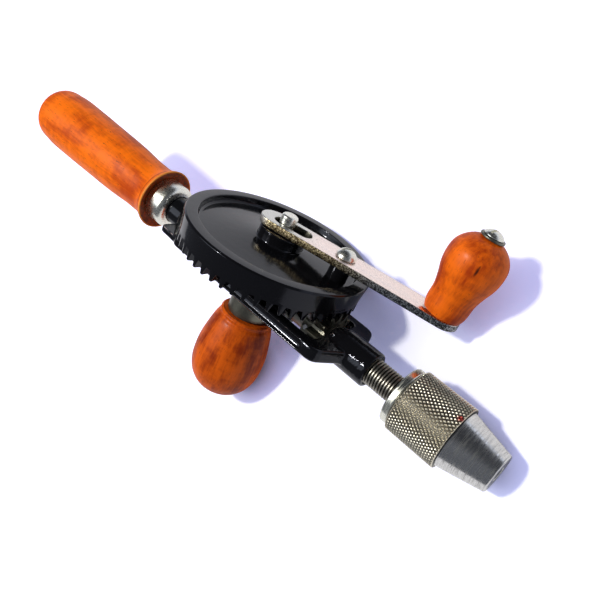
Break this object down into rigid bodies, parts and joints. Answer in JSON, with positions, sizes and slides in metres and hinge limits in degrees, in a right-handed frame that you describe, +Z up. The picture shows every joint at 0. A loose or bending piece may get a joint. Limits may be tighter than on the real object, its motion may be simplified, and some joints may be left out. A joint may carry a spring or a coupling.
{
  "type": "hand drill",
  "caption": "Hand drill with wooden handles, an open cast frame, a crank on a crown wheel that drives a pinion spindle, and a three-jaw chuck with a knurled sleeve.",
  "frame": {"origin": "middle of the bounding box's base, on the surface that the drill lies on", "axes": "+X along the drill towards the chuck, as seen from above, +Z up, away from the surface that it lies on, and +Y to the side that the crank is on"},
  "size_m": [0.2958, 0.1316, 0.084],
  "materials": {
    "black_enamel": "gloss black enamel on cast iron",
    "stained_wood": "orange stained and varnished turned hardwood",
    "polished_steel": "worn bright plating",
    "dull_steel": "dull turned steel with light rust"
  },
  "bodies": {
    "frame": {"main_handle": "stained_wood", "handle_ferrule": "polished_steel", "frame": "black_enamel", "front_bush": "dull_steel", "wheel_axle": "polished_steel", "axle_washer": "dull_steel", "thrust_ball": "polished_steel", "side_handle": "stained_wood", "side_ferrule": "polished_steel", "side_handle_stud": "dull_steel"},
    "crank": {"gear_wheel": "black_enamel", "crank_arm": "dull_steel", "crank_clamp_screw": "polished_steel", "knob_spindle": "polished_steel", "knob_washer": "polished_steel", "knob_screw": "polished_steel"},
    "knob": {"crank_knob": "stained_wood"},
    "spindle": {"spindle": "polished_steel", "drive_pinion": "polished_steel", "pinion_pin": "dull_steel", "chuck_body": "dull_steel", "chuck_collar": "dull_steel"},
    "sleeve": {"chuck_sleeve": "dull_steel", "jaw_nut_front": "dull_steel", "jaw_nut_back": "dull_steel"},
    "jaw_1": {"jaw_1": "dull_steel"},
    "jaw_2": {"jaw_2": "dull_steel"},
    "jaw_3": {"jaw_3": "dull_steel"}
  },
  "joints": [
    {"name": "crank_turn", "type": "hinge", "parent": "frame", "child": "crank", "pos_m": [0.0209, -0.00724, 0.03548], "axis": [0.0836, 0.9096, 0.4069], "continuous": true},
    {"name": "knob_spin", "type": "hinge", "parent": "crank", "child": "knob", "pos_m": [0.09051, 0.02807, 0.01448], "axis": [0.1302, 0.9143, 0.3834], "continuous": true},
    {"name": "spindle_turn", "type": "hinge", "parent": "frame", "child": "spindle", "pos_m": [0.0209, -0.00724, 0.03548], "axis": [0.9795, 0, -0.2013], "continuous": true},
    {"name": "sleeve_turn", "type": "hinge", "parent": "spindle", "child": "sleeve", "pos_m": [0.0209, -0.00724, 0.03548], "axis": [-0.9795, 0, 0.2013], "range_deg": [0, 2483]},
    {"name": "jaw_1_slide", "type": "slide", "parent": "spindle", "child": "jaw_1", "axis": [0.9245, -0.2354, -0.2998], "range_m": [0, 0.01035]},
    {"name": "jaw_2_slide", "type": "slide", "parent": "spindle", "child": "jaw_2", "axis": [0.9159, 0.2108, -0.3415], "range_m": [0, 0.01035]},
    {"name": "jaw_3_slide", "type": "slide", "parent": "spindle", "child": "jaw_3", "axis": [0.998, 0.0246, 0.0579], "range_m": [0, 0.01035]}
  ],
  "couplings": [
    {"joint": "spindle_turn", "follows": "crank_turn", "ratio": -4},
    {"joint": "jaw_1_slide", "follows": "sleeve_turn", "m_per_rad": 0.00023873},
    {"joint": "jaw_2_slide", "follows": "sleeve_turn", "m_per_rad": 0.00023873},
    {"joint": "jaw_3_slide", "follows": "sleeve_turn", "m_per_rad": 0.00023873}
  ]
}
